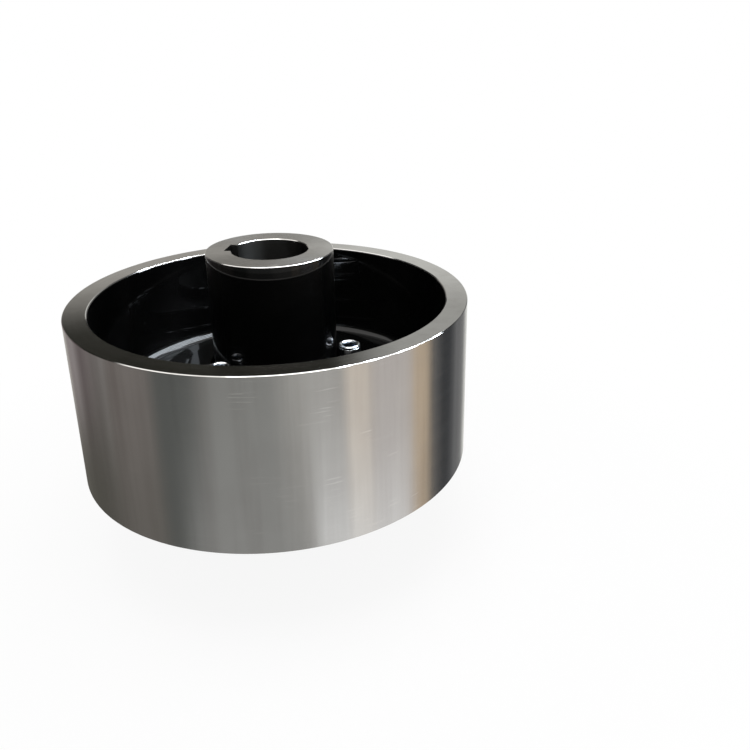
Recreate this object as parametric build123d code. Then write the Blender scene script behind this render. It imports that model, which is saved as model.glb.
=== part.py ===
from build123d import *
import os
from math import cos, pi, radians, sin, tan

# Flexible pin coupling with a brake drum, in millimetres.
# It stands on the end face of its lower hub, with +Z along the shafts and the origin at the
# centre of that face. The keyways look towards -X, and one retaining screw lies at +X.
# Each half is one casting. The upper one is given as two solids that meet in the web: the hub
# with its flange, and the drum. Nylon pins pass through both flanges and carry the turning
# force, and a ring plate screwed to the back of each flange keeps the pins in.

# Shaft seats, the same in both halves
bore_diameter = 60.0
bore_chamfer = 1.0
keyway_width = 18.0
keyway_depth = 4.4
hub_diameter = 100.0
hub_chamfer = 1.2
hub_root_radius = 2.0

# Lengths along the shafts
lower_hub_length = 107.0
upper_hub_length = 142.0
flange_gap = 3.0

# Flanges that the pins join
flange_diameter = 195.0
flange_thickness = 38.0
flange_chamfer = 1.5

# Brake drum around the upper half
drum_diameter = 315.0
drum_width = 134.0
drum_wall = 17.5
drum_drop = 30.0
drum_outer_chamfer = 1.5
drum_inner_chamfer = 2.5
web_thickness = 16.0
web_rise = 3.5
web_drum_radius = 5.0
web_flange_radius = 4.0

# Nylon pins
pins_between_screws = 3
pin_diameter = 20.0
pin_chamfer = 1.5
pin_clearance = 0.1
pin_end_clearance = 0.3
pin_hub_wall = 1.5
pin_side_wall = 6.0

# Retaining plates
plate_thickness = 10.0
plate_chamfer = 1.0
plate_hub_clearance = 2.5
plate_pin_overlap = 0.5

# Socket head cap screws and the holes that they pass through or enter
screw_count = 3
screw_diameter = 12.0
screw_length = 30.0
screw_tip_chamfer = 1.2
head_diameter = 18.0
head_height = 12.0
head_chamfer = 0.8
head_hub_clearance = 2.0
socket_across_flats = 10.0
socket_depth = 6.0
socket_chamfer = 0.7
thread_clearance = 0.05
plate_hole_clearance = 0.75
tapped_depth = 24.0
drill_point_angle = 118.0

# Spring washers, drawn tight
washer_thickness = 3.1
washer_section_width = 3.1
washer_screw_clearance = 0.1
washer_split = 1.2
washer_split_lean = 25.0

# Radii and heights that follow from the sizes above
bore_radius = bore_diameter / 2
hub_radius = hub_diameter / 2
flange_radius = flange_diameter / 2
drum_radius = drum_diameter / 2
drum_inner_radius = drum_radius - drum_wall
pin_radius = pin_diameter / 2
screw_radius = screw_diameter / 2
head_radius = head_diameter / 2
place_count = screw_count * (pins_between_screws + 1)
place_angle = 360 / place_count

# Pins and screws share one circle, as near to the hub as the wider of them allows,
# and wide enough to leave a wall between neighbours.
pin_circle_radius = max(
    hub_radius + pin_hub_wall + pin_radius,
    hub_radius + head_hub_clearance + head_radius,
    (pin_diameter + pin_side_wall) / (2 * sin(pi / place_count)),
)
plate_inner_radius = hub_radius + plate_hub_clearance
plate_outer_radius = pin_circle_radius + max(pin_radius, head_radius) + plate_pin_overlap

lower_face = lower_hub_length
lower_back = lower_face - flange_thickness
upper_face = lower_face + flange_gap
upper_back = upper_face + flange_thickness
upper_end = upper_face + upper_hub_length
drum_bottom = upper_face - drum_drop
drum_top = drum_bottom + drum_width
web_bottom = upper_face + web_rise
web_top = web_bottom + web_thickness
pin_length = upper_back - lower_back - pin_end_clearance

# The upper casting's two solids meet just outside the fillet between its flange and web.
parting_radius = flange_radius + web_flange_radius

screw_angles = [i * 360 / screw_count for i in range(screw_count)]
pin_angles = [
    screw_angle + (k + 1) * place_angle
    for screw_angle in screw_angles
    for k in range(pins_between_screws)
]


def on_pin_circle(angle, height):
    """A place on the pins' circle, at a bearing in degrees and a height."""
    bearing = radians(angle)
    return Pos(pin_circle_radius * cos(bearing), pin_circle_radius * sin(bearing), height)


def ring_section(inner, outer, bottom, top):
    """A rectangle of the half section, between two radii and two heights."""
    return Pos((inner + outer) / 2, (bottom + top) / 2) * Rectangle(outer - inner, top - bottom)


def corners(section, points):
    """The section's corners that lie at the given radii and heights."""
    return [section.vertices().sort_by_distance((r, z, 0))[0] for r, z in points]


def turned(section):
    """The solid of revolution of a half section about the shafts' axis."""
    return revolve(Plane.XZ * section, axis=Axis.Z)


def cylinder_up(radius, height):
    """A cylinder that stands on its origin."""
    return Cylinder(radius, height, align=(Align.CENTER, Align.CENTER, Align.MIN))


def keyway(bottom, top):
    """The keyway's space, from inside the bore to its floor on the -X side."""
    reach = bore_radius + keyway_depth
    slot = Box(reach, keyway_width, top - bottom, align=(Align.MAX, Align.CENTER, Align.MIN))
    return Pos(0, 0, bottom) * slot


def pin_holes(bottom):
    """The holes for the nylon pins, through a flange that starts at the given height."""
    hole = cylinder_up(pin_radius + pin_clearance, flange_thickness)
    return [on_pin_circle(angle, bottom) * hole for angle in pin_angles]


def tapped_hole():
    """A tapped hole that goes down from its origin and ends in the drill's point."""
    radius = screw_radius + thread_clearance
    point = radius / tan(radians(drill_point_angle / 2))
    section = make_face(
        Polyline(
            (0, 0),
            (radius, 0),
            (radius, -tapped_depth),
            (0, -tapped_depth - point),
            close=True,
        )
    )
    return turned(section)


def tapped_holes(back, turn):
    """The tapped holes in the back of a flange, turned over for the lower half."""
    return [on_pin_circle(angle, back) * turn * tapped_hole() for angle in screw_angles]


def shaft_seat(section, bottom, top):
    """Chamfers the bore's two mouths in a half section."""
    return chamfer(corners(section, [(bore_radius, bottom), (bore_radius, top)]), bore_chamfer)


def wheel_section():
    """The half section of the upper casting: drum, web, flange and hub."""
    section = (
        ring_section(bore_radius, hub_radius, upper_face, upper_end)
        + ring_section(bore_radius, flange_radius, upper_face, upper_back)
        + ring_section(hub_radius, drum_radius, web_bottom, web_top)
        + ring_section(drum_inner_radius, drum_radius, drum_bottom, drum_top)
    )
    inside_drum = [(drum_inner_radius, web_bottom), (drum_inner_radius, web_top)]
    section = fillet(corners(section, inside_drum), web_drum_radius)
    section = fillet(corners(section, [(flange_radius, web_top)]), web_flange_radius)
    section = fillet(corners(section, [(hub_radius, upper_back)]), hub_root_radius)
    section = chamfer(corners(section, [(hub_radius, upper_end)]), hub_chamfer)
    flange_edges = [(flange_radius, upper_back), (flange_radius, upper_face)]
    section = chamfer(corners(section, flange_edges), flange_chamfer)
    outer_edges = [(drum_radius, drum_bottom), (drum_radius, drum_top)]
    section = chamfer(corners(section, outer_edges), drum_outer_chamfer)
    inner_edges = [(drum_inner_radius, drum_bottom), (drum_inner_radius, drum_top)]
    section = chamfer(corners(section, inner_edges), drum_inner_chamfer)
    return shaft_seat(section, upper_face, upper_end)


def brake_wheel():
    """The drum and the web that carries it, as far in as the parting radius."""
    return turned(wheel_section() - ring_section(0, parting_radius, upper_face, upper_end))


def brake_wheel_hub():
    """The hub and flange of the upper casting, out to the parting radius."""
    section = wheel_section() & ring_section(0, parting_radius, upper_face, upper_end)
    hub = turned(section) - keyway(upper_face, upper_end)
    return hub - pin_holes(upper_face) - tapped_holes(upper_back, Rot(0, 0, 0))


def half_coupling():
    """The lower half: flange and hub in one casting."""
    section = ring_section(bore_radius, hub_radius, 0, lower_face) + ring_section(
        bore_radius, flange_radius, lower_back, lower_face
    )
    section = fillet(corners(section, [(hub_radius, lower_back)]), hub_root_radius)
    section = chamfer(corners(section, [(hub_radius, 0)]), hub_chamfer)
    flange_edges = [(flange_radius, lower_back), (flange_radius, lower_face)]
    section = chamfer(corners(section, flange_edges), flange_chamfer)
    section = shaft_seat(section, 0, lower_face)
    half = turned(section) - keyway(0, lower_face)
    return half - pin_holes(lower_back) - tapped_holes(lower_back, Rot(180, 0, 0))


def retaining_plate():
    """The ring plate that keeps the pins in, standing on its origin."""
    section = ring_section(plate_inner_radius, plate_outer_radius, 0, plate_thickness)
    edges = [(plate_inner_radius, plate_thickness), (plate_outer_radius, plate_thickness)]
    section = chamfer(corners(section, edges), plate_chamfer)
    hole = cylinder_up(screw_radius + plate_hole_clearance, plate_thickness)
    return turned(section) - [on_pin_circle(angle, 0) * hole for angle in screw_angles]


def nylon_pin():
    """A plain nylon pin that stands on its origin."""
    pin = cylinder_up(pin_radius, pin_length)
    return chamfer(pin.edges().filter_by(GeomType.CIRCLE), pin_chamfer)


def spring_washer():
    """A split spring washer, drawn flat, that lies on its origin."""
    inner = screw_radius + washer_screw_clearance
    outer = inner + washer_section_width
    ring = cylinder_up(outer, washer_thickness) - cylinder_up(inner, washer_thickness)
    split = Box(2 * outer, washer_split, 3 * washer_thickness)
    place = Pos(outer, 0, washer_thickness / 2) * Rot(washer_split_lean, 0, 0)
    return ring - place * split


def cap_screw():
    """A socket head cap screw, with its origin under the head and its tip downwards."""
    section = ring_section(0, head_radius, 0, head_height)
    section += ring_section(0, screw_radius, -screw_length, 0)
    section = chamfer(corners(section, [(head_radius, head_height)]), head_chamfer)
    section = chamfer(corners(section, [(screw_radius, -screw_length)]), screw_tip_chamfer)
    hexagon = RegularPolygon(socket_across_flats / 2, 6, major_radius=False)
    floor = Pos(0, 0, head_height - socket_depth)
    socket = extrude(floor * hexagon, socket_depth)
    mouth = Cone(
        socket_across_flats / 2,
        socket_across_flats / 2 + socket_chamfer,
        socket_chamfer,
        align=(Align.CENTER, Align.CENTER, Align.MAX),
    )
    return turned(section) - socket - Pos(0, 0, head_height) * mouth


def fastenings(name, back, turn):
    """The plate, washers and screws on the back of one flange, by node name."""
    outside = Pos(0, 0, back) * turn
    pieces = {f"{name}_retaining_plate": outside * retaining_plate()}
    washer_seat = plate_thickness
    screw_seat = plate_thickness + washer_thickness
    for number, angle in enumerate(screw_angles, start=1):
        bearing = Rot(0, 0, angle)
        place = bearing * Pos(pin_circle_radius, 0, back) * turn
        pieces[f"{name}_spring_washer_{number}"] = place * Pos(0, 0, washer_seat) * spring_washer()
        pieces[f"{name}_cap_screw_{number}"] = place * Pos(0, 0, screw_seat) * cap_screw()
    return pieces


def coupling():
    """Every piece of the coupling, by node name."""
    pieces = {
        "brake_wheel": brake_wheel(),
        "brake_wheel_hub": brake_wheel_hub(),
        "half_coupling": half_coupling(),
    }
    for number, angle in enumerate(pin_angles, start=1):
        pieces[f"nylon_pin_{number}"] = on_pin_circle(angle, lower_back) * nylon_pin()
    pieces.update(fastenings("upper", upper_back, Rot(0, 0, 0)))
    pieces.update(fastenings("lower", lower_back, Rot(180, 0, 0)))
    return pieces


os.makedirs("parts", exist_ok=True)
for node, piece in coupling().items():
    export_step(piece, f"parts/{node}.step")
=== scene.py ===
"""Dresses the flexible pin coupling: its pieces, their finishes and a pale studio.

The coupling's lengths are in millimetres until a mesh is written, and in metres from there on.
Bearings are in degrees about the shafts' axis, counted from +X towards +Y.
"""
import logging
import math
from dataclasses import dataclass
from enum import Enum
from typing import Sequence, Union

import bpy
import numpy as np
from mathutils import Matrix, Vector

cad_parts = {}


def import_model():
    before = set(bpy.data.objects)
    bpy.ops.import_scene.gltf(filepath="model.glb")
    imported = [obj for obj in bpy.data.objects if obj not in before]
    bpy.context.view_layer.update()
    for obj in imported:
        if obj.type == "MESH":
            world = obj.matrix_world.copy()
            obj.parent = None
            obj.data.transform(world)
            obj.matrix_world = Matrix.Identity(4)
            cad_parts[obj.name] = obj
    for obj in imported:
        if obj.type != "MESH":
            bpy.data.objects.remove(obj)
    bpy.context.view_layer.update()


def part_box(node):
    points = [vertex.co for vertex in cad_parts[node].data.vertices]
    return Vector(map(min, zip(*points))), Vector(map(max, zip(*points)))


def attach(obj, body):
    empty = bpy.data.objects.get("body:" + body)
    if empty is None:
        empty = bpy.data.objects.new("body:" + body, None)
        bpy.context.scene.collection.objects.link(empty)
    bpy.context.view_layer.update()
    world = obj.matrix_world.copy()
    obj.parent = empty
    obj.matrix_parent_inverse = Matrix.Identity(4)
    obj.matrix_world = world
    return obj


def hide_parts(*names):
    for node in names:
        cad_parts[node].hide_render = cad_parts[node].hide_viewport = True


LOG = logging.getLogger("coupling")
MM = 0.001
CREASE_ANGLE = 28.0
Colour = tuple[float, float, float]
Number = Union[float, "Signal"]
Tone = Union[Colour, "Signal"]


class Half(Enum):
    """The two halves of the coupling, each with the body that its pieces ride on."""

    UPPER = "upper"
    LOWER = "lower"

    @property
    def body(self) -> str:
        """The name of the half's CAD body."""
        return f"{self.value}_half"


class Slot(Enum):
    """The names of the material slots."""

    WHEEL = "machined_and_painted_steel"
    PAINTED = "black_painted_steel"
    NYLON = "nylon"
    ZINC = "zinc_plated_steel"


class Signal:
    """A value that flows through a node tree, with Python's arithmetic and a few curves."""

    def __init__(self, shading: "Shading", socket: bpy.types.NodeSocket) -> None:
        """Wraps one output socket.

        Args:
            shading: the node tree that the socket belongs to.
            socket: the output that carries the value.
        """
        self.shading = shading
        self.socket = socket

    def math(self, operation: str, *others: Number) -> "Signal":
        """This value and the others through one Math node.

        Args:
            operation: the Math node's operation.
            *others: the node's further inputs.

        Returns:
            The node's result.
        """
        values = dict(enumerate((self, *others)))
        return self.shading.node("ShaderNodeMath", {"operation": operation}, values)

    def __add__(self, other: Number) -> "Signal":
        """Sum."""
        return self.math("ADD", other)

    __radd__ = __add__

    def __sub__(self, other: Number) -> "Signal":
        """Difference."""
        return self.math("SUBTRACT", other)

    def __rsub__(self, other: float) -> "Signal":
        """A number less this value."""
        return self.math("MULTIPLY_ADD", -1.0, other)

    def __mul__(self, other: Number) -> "Signal":
        """Product."""
        return self.math("MULTIPLY", other)

    __rmul__ = __mul__

    def __truediv__(self, other: Number) -> "Signal":
        """Quotient."""
        return self.math("DIVIDE", other)

    def larger(self, other: Number) -> "Signal":
        """The larger of two values."""
        return self.math("MAXIMUM", other)

    def rise(self, start: float, end: float) -> "Signal":
        """A smooth step from 0 at start to 1 at end.

        Args:
            start: where the step leaves 0.
            end: where it reaches 1, below start for a step that falls.

        Returns:
            The step's height.
        """
        settings = {"interpolation_type": "SMOOTHSTEP"}
        values = {"Value": self, "From Min": start, "From Max": end}
        return self.shading.node("ShaderNodeMapRange", settings, values)


class Shading:
    """One material's node tree, in which every node comes from one method."""

    def __init__(self, name: str) -> None:
        """Starts an empty material.

        Args:
            name: the material's name.
        """
        self.material = bpy.data.materials.new(name)
        self.material.use_nodes = True
        self.tree = self.material.node_tree
        self.tree.nodes.clear()

    def node(self, kind: str, settings: dict, values: dict, output: Union[int, str] = 0) -> Signal:
        """Adds a node, sets it up and links it.

        Args:
            kind: the node's type.
            settings: its properties, set before its sockets.
            values: its inputs by name or number, each a number, a colour or a Signal.
            output: which output to carry on from.

        Returns:
            The chosen output.
        """
        made = self.tree.nodes.new(kind)
        for key, value in settings.items():
            setattr(made, key, value)
        for key, value in values.items():
            socket = made.inputs[key]
            if isinstance(value, Signal):
                self.tree.links.new(value.socket, socket)
            elif isinstance(value, tuple) and len(socket.default_value) == 4:
                socket.default_value = (*value, 1.0)
            else:
                socket.default_value = value
        return Signal(self, made.outputs[output])

    def place(self) -> "Place":
        """The point of the surface that is shaded."""
        return Place(self)

    def noise(self, at: Signal, scale: float, detail: float = 2.0) -> Signal:
        """Soft noise around 0.5.

        Args:
            at: where to read it.
            scale: how many features there are to one unit of at.
            detail: how many finer layers it has.

        Returns:
            The noise's value.
        """
        values = {"Vector": at, "Scale": scale, "Detail": detail, "Roughness": 0.55}
        return self.node("ShaderNodeTexNoise", {}, values)

    def mix(self, first: Tone, second: Tone, share: Number) -> Signal:
        """One colour turning into another.

        Args:
            first: the colour at share 0.
            second: the colour at share 1.
            share: how much of the second there is.

        Returns:
            The mixed colour.
        """
        settings = {"data_type": "RGBA"}
        return self.node("ShaderNodeMix", settings, {0: share, 6: first, 7: second}, 2)

    def output(self, surface: Signal) -> bpy.types.Material:
        """Ends the tree in the material's output.

        Args:
            surface: the shader to show.

        Returns:
            The finished material.
        """
        end = self.tree.nodes.new("ShaderNodeOutputMaterial")
        self.tree.links.new(surface.socket, end.inputs["Surface"])
        return self.material


class Place:
    """A shaded point in the coupling's own coordinates, in metres."""

    def __init__(self, shading: Shading) -> None:
        """Reads the point's coordinates.

        Args:
            shading: the node tree to read them in.
        """
        self.shading = shading
        self.point = shading.node("ShaderNodeTexCoord", {}, {}, "Object")
        split = {"Vector": self.point}
        self.x = shading.node("ShaderNodeSeparateXYZ", {}, split, "X")
        self.y = shading.node("ShaderNodeSeparateXYZ", {}, split, "Y")
        self.height = shading.node("ShaderNodeSeparateXYZ", {}, split, "Z")
        self.radius = (self.x * self.x + self.y * self.y).math("SQRT")

    def vector(self, x: Number, y: Number, z: Number) -> Signal:
        """A vector of three values."""
        return self.shading.node("ShaderNodeCombineXYZ", {}, {"X": x, "Y": y, "Z": z})

    def lathe(self, drift: float = 0.02) -> Signal:
        """Coordinates in which a lathe's marks run round the axis.

        Radius and height change across the marks. The point itself comes in only a little, so
        that a mark fades in and out along its way round, with no seam.

        Args:
            drift: how much the way round counts, beside the way across.

        Returns:
            The vector to read a noise at.
        """
        return self.vector(self.radius + self.height, self.x * drift, self.y * drift)

    def towards(self, bearing: float) -> Signal:
        """The cosine of the angle between this point's bearing and another.

        Args:
            bearing: the other bearing in degrees.

        Returns:
            1 on that bearing and -1 opposite it.
        """
        turn = math.radians(bearing)
        return (self.x * math.cos(turn) + self.y * math.sin(turn)) / self.radius


@dataclass
class Surface:
    """What a finish says of a point: its colour, gloss and fine relief."""

    colour: Tone
    roughness: Number
    metallic: Number
    coat: Number
    relief: Number

    def covered(self, shading: Shading, other: "Surface", share: Signal) -> "Surface":
        """This finish with another one laid over part of it.

        Args:
            shading: the node tree of both.
            other: the finish on top.
            share: 1 where the other finish covers this one.

        Returns:
            The two finishes as one.
        """

        def blend(first: Number, second: Number) -> Signal:
            """The second value where the share is 1, and the first where it is 0."""
            return share * second + (1 - share) * first

        return Surface(
            shading.mix(self.colour, other.colour, share),
            blend(self.roughness, other.roughness),
            blend(self.metallic, other.metallic),
            blend(self.coat, other.coat),
            blend(self.relief, other.relief),
        )


@dataclass(frozen=True)
class Gloss:
    """The settings of the shader that are the same all over a material."""

    coat_roughness: float = 0.04
    specular: float = 0.5
    anisotropy: float = 0.0
    subsurface: float = 0.0
    scatter: tuple[float, float, float] = (0.004, 0.003, 0.002)
    anisotropy_turn: float = 0.25

    def material(self, shading: Shading, surface: Surface) -> bpy.types.Material:
        """Turns a finish into a material.

        Args:
            shading: the node tree of the finish.
            surface: the finish.

        Returns:
            The material.
        """
        values = {"Height": surface.relief, "Distance": 1.0, "Strength": 1.0}
        normal = shading.node("ShaderNodeBump", {}, values)
        inputs = {
            "Base Color": surface.colour,
            "Roughness": surface.roughness,
            "Metallic": surface.metallic,
            "Coat Weight": surface.coat,
            "Normal": normal,
            "Coat Roughness": self.coat_roughness,
            "Specular IOR Level": self.specular,
            "Anisotropic": self.anisotropy,
            "Anisotropic Rotation": self.anisotropy_turn,
            "Subsurface Weight": self.subsurface,
            "Subsurface Radius": Vector(self.scatter),
        }
        return shading.output(shading.node("ShaderNodeBsdfPrincipled", {}, inputs))


@dataclass(frozen=True)
class TurnedSteel:
    """Bare steel off the lathe: fine rings round the axis, upright chatter, bloom and scratches."""

    colour: Colour = (0.46, 0.455, 0.445)
    bloom_colour: Colour = (0.39, 0.38, 0.37)
    scratch_colour: Colour = (0.49, 0.48, 0.465)
    roughness: float = 0.2
    ring_depth: float = 0.0000006
    chatter_depth: float = 0.000025

    def surface(self, shading: Shading) -> Surface:
        """The finish's colour, gloss and relief.

        Args:
            shading: the node tree to build it in.

        Returns:
            The finish.
        """
        place = shading.place()
        coarse = shading.noise(place.lathe(), 420.0, 3.0)
        fine = shading.noise(place.lathe(0.006), 2600.0, 2.0)
        bloom = shading.noise(place.point, 14.0, 3.0)
        upright = place.vector(place.x, place.y, place.height * 0.04)
        chatter = shading.noise(upright, 150.0, 2.0)
        streak = shading.noise(upright, 90.0, 4.0)
        around = place.vector(place.x * 0.03, place.y * 0.03, place.height)
        nick = shading.noise(around, 1100.0, 1.0)
        patch = shading.noise(place.point, 30.0, 1.0).rise(0.55, 0.68)
        scratch = nick.rise(0.62, 0.72) * patch
        dulled = bloom.rise(0.35, 0.75) * 0.5 + streak.rise(0.4, 0.7) * 0.5
        worn = shading.mix(self.colour, self.bloom_colour, dulled)
        colour = shading.mix(worn, self.scratch_colour, scratch)
        rings = (coarse - 0.5) * self.ring_depth + (fine - 0.5) * (self.ring_depth * 0.4)
        return Surface(
            colour,
            self.roughness + (coarse - 0.5) * 0.06 + (bloom - 0.5) * 0.06 + scratch * 0.06,
            1.0,
            0.0,
            rings + (chatter - 0.5) * self.chatter_depth,
        )


FACED_STEEL = TurnedSteel(roughness=0.11, ring_depth=0.0000002, chatter_depth=0.0)
# Dark steel for the bore: painted shade, for the shadow deep inside the bore.
SHADED_BORE_STEEL = TurnedSteel((0.075, 0.075, 0.072), (0.05, 0.049, 0.046), (0.08, 0.08, 0.078), 0.3)


@dataclass(frozen=True)
class GlossBlackPaint:
    """Black enamel over a casting: glossy, with a slow wave and a few dust specks."""

    colour: Colour = (0.0012, 0.0013, 0.0013)
    smear_colour: Colour = (0.0025, 0.0026, 0.0025)
    roughness: float = 0.3
    coat: float = 0.45
    wave_depth: float = 0.00011

    def surface(self, shading: Shading) -> Surface:
        """The finish's colour, gloss and relief.

        Args:
            shading: the node tree to build it in.

        Returns:
            The finish.
        """
        place = shading.place()
        wave = shading.noise(place.point, 38.0, 1.0)
        peel = shading.noise(place.point, 700.0, 1.0)
        smear = shading.noise(place.point, 22.0, 3.0)
        return Surface(
            shading.mix(self.colour, self.smear_colour, smear.rise(0.45, 0.8)),
            self.roughness + (smear - 0.5) * 0.2,
            0.0,
            self.coat,
            (wave - 0.5) * self.wave_depth + (peel - 0.5) * (self.wave_depth * 0.012),
        )


@dataclass(frozen=True)
class ZincPlate:
    """Bright zinc on the screws and washers, a little cloudy, with painted shade in each socket."""

    colour: Colour = (0.74, 0.75, 0.77)
    cloud_colour: Colour = (0.62, 0.65, 0.7)
    socket_shade_colour: Colour = (0.12, 0.14, 0.165)
    roughness: float = 0.16

    def surface(self, shading: Shading) -> Surface:
        """The finish's colour, gloss and relief.

        Args:
            shading: the node tree to build it in.

        Returns:
            The finish.
        """
        place = shading.place()
        cloud = shading.noise(place.point, 160.0, 3.0)
        grain = shading.noise(place.point, 2200.0, 1.0)
        # The socket's rings and floor are coloured dark: painted shade in the recess.
        deep = shading.node("ShaderNodeAttribute", {"attribute_name": "deep"}, {}, "Fac")
        plate = shading.mix(self.colour, self.cloud_colour, cloud.rise(0.4, 0.75))
        return Surface(
            shading.mix(plate, self.socket_shade_colour, deep),
            self.roughness + (cloud - 0.5) * 0.16,
            1.0,
            0.0,
            (grain - 0.5) * 0.000006,
        )


@dataclass(frozen=True)
class NaturalNylon:
    """Turned nylon, milky, with tool marks round each pin."""

    colour: Colour = (0.8, 0.74, 0.6)
    shade_colour: Colour = (0.7, 0.62, 0.46)
    roughness: float = 0.42

    def surface(self, shading: Shading) -> Surface:
        """The finish's colour, gloss and relief.

        Args:
            shading: the node tree to build it in.

        Returns:
            The finish.
        """
        place = shading.place()
        cloud = shading.noise(place.point, 90.0, 2.0)
        marks = shading.noise(place.vector(0.0, 0.0, place.height), 1800.0, 1.0)
        return Surface(
            shading.mix(self.colour, self.shade_colour, cloud.rise(0.4, 0.8)),
            self.roughness + (cloud - 0.5) * 0.15,
            0.0,
            0.0,
            (marks - 0.5) * 0.00001,
        )


class Side(Enum):
    """Which side of a limit a zone lies on."""

    OUTSIDE = "beyond the radius"
    ABOVE = "above the height"
    BELOW = "below the height"


@dataclass(frozen=True)
class BareZone:
    """A part of a casting that was turned after it was painted, with its limits in millimetres."""

    side: Side
    limit: float
    within: float = 1000.0
    edge: float = 0.12

    def mask(self, place: Place) -> Signal:
        """1 where the steel is bare.

        Args:
            place: the point that is shaded.

        Returns:
            The zone's mask.
        """
        reach = self.edge * MM
        limit = self.limit * MM
        if self.side is Side.OUTSIDE:
            return place.radius.rise(limit - reach, limit + reach)
        if self.side is Side.ABOVE:
            return place.height.rise(limit - reach, limit + reach)
        edge = self.within * MM
        below = place.height.rise(limit + reach, limit - reach)
        return below * place.radius.rise(edge + reach, edge - reach)


PlainFinish = Union[GlossBlackPaint, ZincPlate, NaturalNylon]


def plain_finish(name: str, finish: PlainFinish, gloss: Gloss) -> bpy.types.Material:
    """One finish all over.

    Args:
        name: the material's name.
        finish: the finish.
        gloss: the shader's settings.

    Returns:
        The material.
    """
    shading = Shading(name)
    return gloss.material(shading, finish.surface(shading))


class Bend(Enum):
    """How an outline passes one of its corners."""

    SHARP = "straight through the corner"
    CHAMFER = "cut off at equal lengths"
    ROUND = "on an arc that touches both sides"


@dataclass(frozen=True)
class Corner:
    """A corner of a half section: its radius and height, and how it is bent, in millimetres."""

    radius: float
    height: float
    bend: Bend = Bend.SHARP
    size: float = 0.0

    def points(self, before: np.ndarray, after: np.ndarray, steps: int) -> np.ndarray:
        """The outline's points at this corner.

        A chamfer leaves the corner by its size along both sides. A round corner is the arc
        centre + size (cos, sin), whose centre lies on the corner's bisector at size over the
        sine of half the corner's angle.

        Args:
            before: the corner before this one.
            after: the corner after it.
            steps: how many chords a round corner has.

        Returns:
            The points as rows of radius and height.
        """
        here = np.array((self.radius, self.height))
        if self.bend is Bend.SHARP:
            return here[None]
        inward = (before - here) / np.linalg.norm(before - here)
        onward = (after - here) / np.linalg.norm(after - here)
        if self.bend is Bend.CHAMFER:
            return np.array((here + inward * self.size, here + onward * self.size))
        half = np.arccos(np.clip(inward @ onward, -1.0, 1.0)) / 2
        bisector = (inward + onward) / np.linalg.norm(inward + onward)
        centre = here + bisector * self.size / np.sin(half)
        start = here + inward * self.size / np.tan(half) - centre
        end = here + onward * self.size / np.tan(half) - centre
        share = np.linspace(0.0, 1.0, steps + 1)[:, None]
        sweep = np.pi - 2 * half
        arc = start * np.sin((1 - share) * sweep) + end * np.sin(share * sweep)
        return centre + arc / np.sin(sweep)


def painted_casting(
    name: str, zones: Sequence[BareZone], bore: float, rim: Corner
) -> bpy.types.Material:
    """Black paint over a steel casting, with the turned zones bare and painted shade in the bore.

    Args:
        name: the material's name.
        zones: where the steel is bare.
        bore: the radius within which the bore's steel is darkened by painted shade, in millimetres.
        rim: the outer corner of the finely faced ring, whose width is the corner's size. The
            bare steel below the corner or inside the ring is coarser.

    Returns:
        The material.
    """
    shading = Shading(name)
    place = shading.place()
    bare = zones[0].mask(place)
    for zone in zones[1:]:
        bare = bare.larger(zone.mask(place))
    bore_shade_fade, face_fade = 0.3 * MM, 0.05 * MM
    # The bore's steel is darkened: painted shade inside the bore.
    bore_shade = place.radius.rise(bore * MM + bore_shade_fade, bore * MM) * (1 - bare)
    paint = GlossBlackPaint().surface(shading)
    inside = paint.covered(shading, SHADED_BORE_STEEL.surface(shading), bore_shade)
    inner, height = (rim.radius - rim.size) * MM, rim.height * MM
    ring = place.radius.rise(inner - face_fade, inner)
    face = ring * place.height.rise(height - face_fade, height)
    steel = TurnedSteel().surface(shading).covered(shading, FACED_STEEL.surface(shading), face)
    gloss = Gloss(coat_roughness=0.02, specular=0.03, anisotropy=0.75)
    return gloss.material(shading, inside.covered(shading, steel, bare))


def outline(corners: Sequence[Corner], steps: int = 10) -> np.ndarray:
    """A closed outline through corners, each bent in its own way.

    Args:
        corners: the corners in order round the half section.
        steps: how many chords a round corner has.

    Returns:
        The outline as rows of radius and height.
    """
    raw = np.array([(c.radius, c.height) for c in corners])
    around = zip(corners, np.roll(raw, 1, axis=0), np.roll(raw, -1, axis=0))
    return np.concatenate([c.points(before, after, steps) for c, before, after in around])


@dataclass(frozen=True)
class Keyway:
    """A keyway in a bore, open towards -X, in millimetres.

    A section's points within the mouth's reach of the bore follow the keyway. The flare is how
    far outside the bore its chamfer can meet the keyway's walls.
    """

    bore_radius: float
    width: float
    depth: float
    mouth_reach: float = 2.0
    flare: float = 1.5

    @property
    def corner_bearings(self) -> np.ndarray:
        """The bearings of the keyway's edges, so that a grid has points on them."""
        half = self.width / 2
        floor = np.degrees(np.arctan(half / (self.bore_radius + self.depth)))
        mouth = np.degrees(np.arcsin(half / self.bore_radius))
        flare = np.degrees(np.arcsin(half / (self.bore_radius + self.flare)))
        return 180.0 + np.array((-mouth, -flare, -floor, floor, flare, mouth))

    def radii(self, bearings: np.ndarray) -> np.ndarray:
        """How far the slot reaches from the axis on each bearing.

        Counted from the slot's middle, its floor lies at (bore + depth) over the cosine, and its
        walls at half the width over the sine. The nearer of the two is the slot's edge.

        Args:
            bearings: the bearings in degrees.

        Returns:
            The slot's radius on each, and 0 on the far side of the axis.
        """
        turn = np.radians(bearings - 180.0)
        ahead = np.cos(turn) > 0.2
        floor = (self.bore_radius + self.depth) / np.where(ahead, np.cos(turn), 1.0)
        wall = self.width / 2 / np.maximum(np.abs(np.sin(turn)), 1e-6)
        return np.where(ahead, np.minimum(floor, wall), 0.0)


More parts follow.
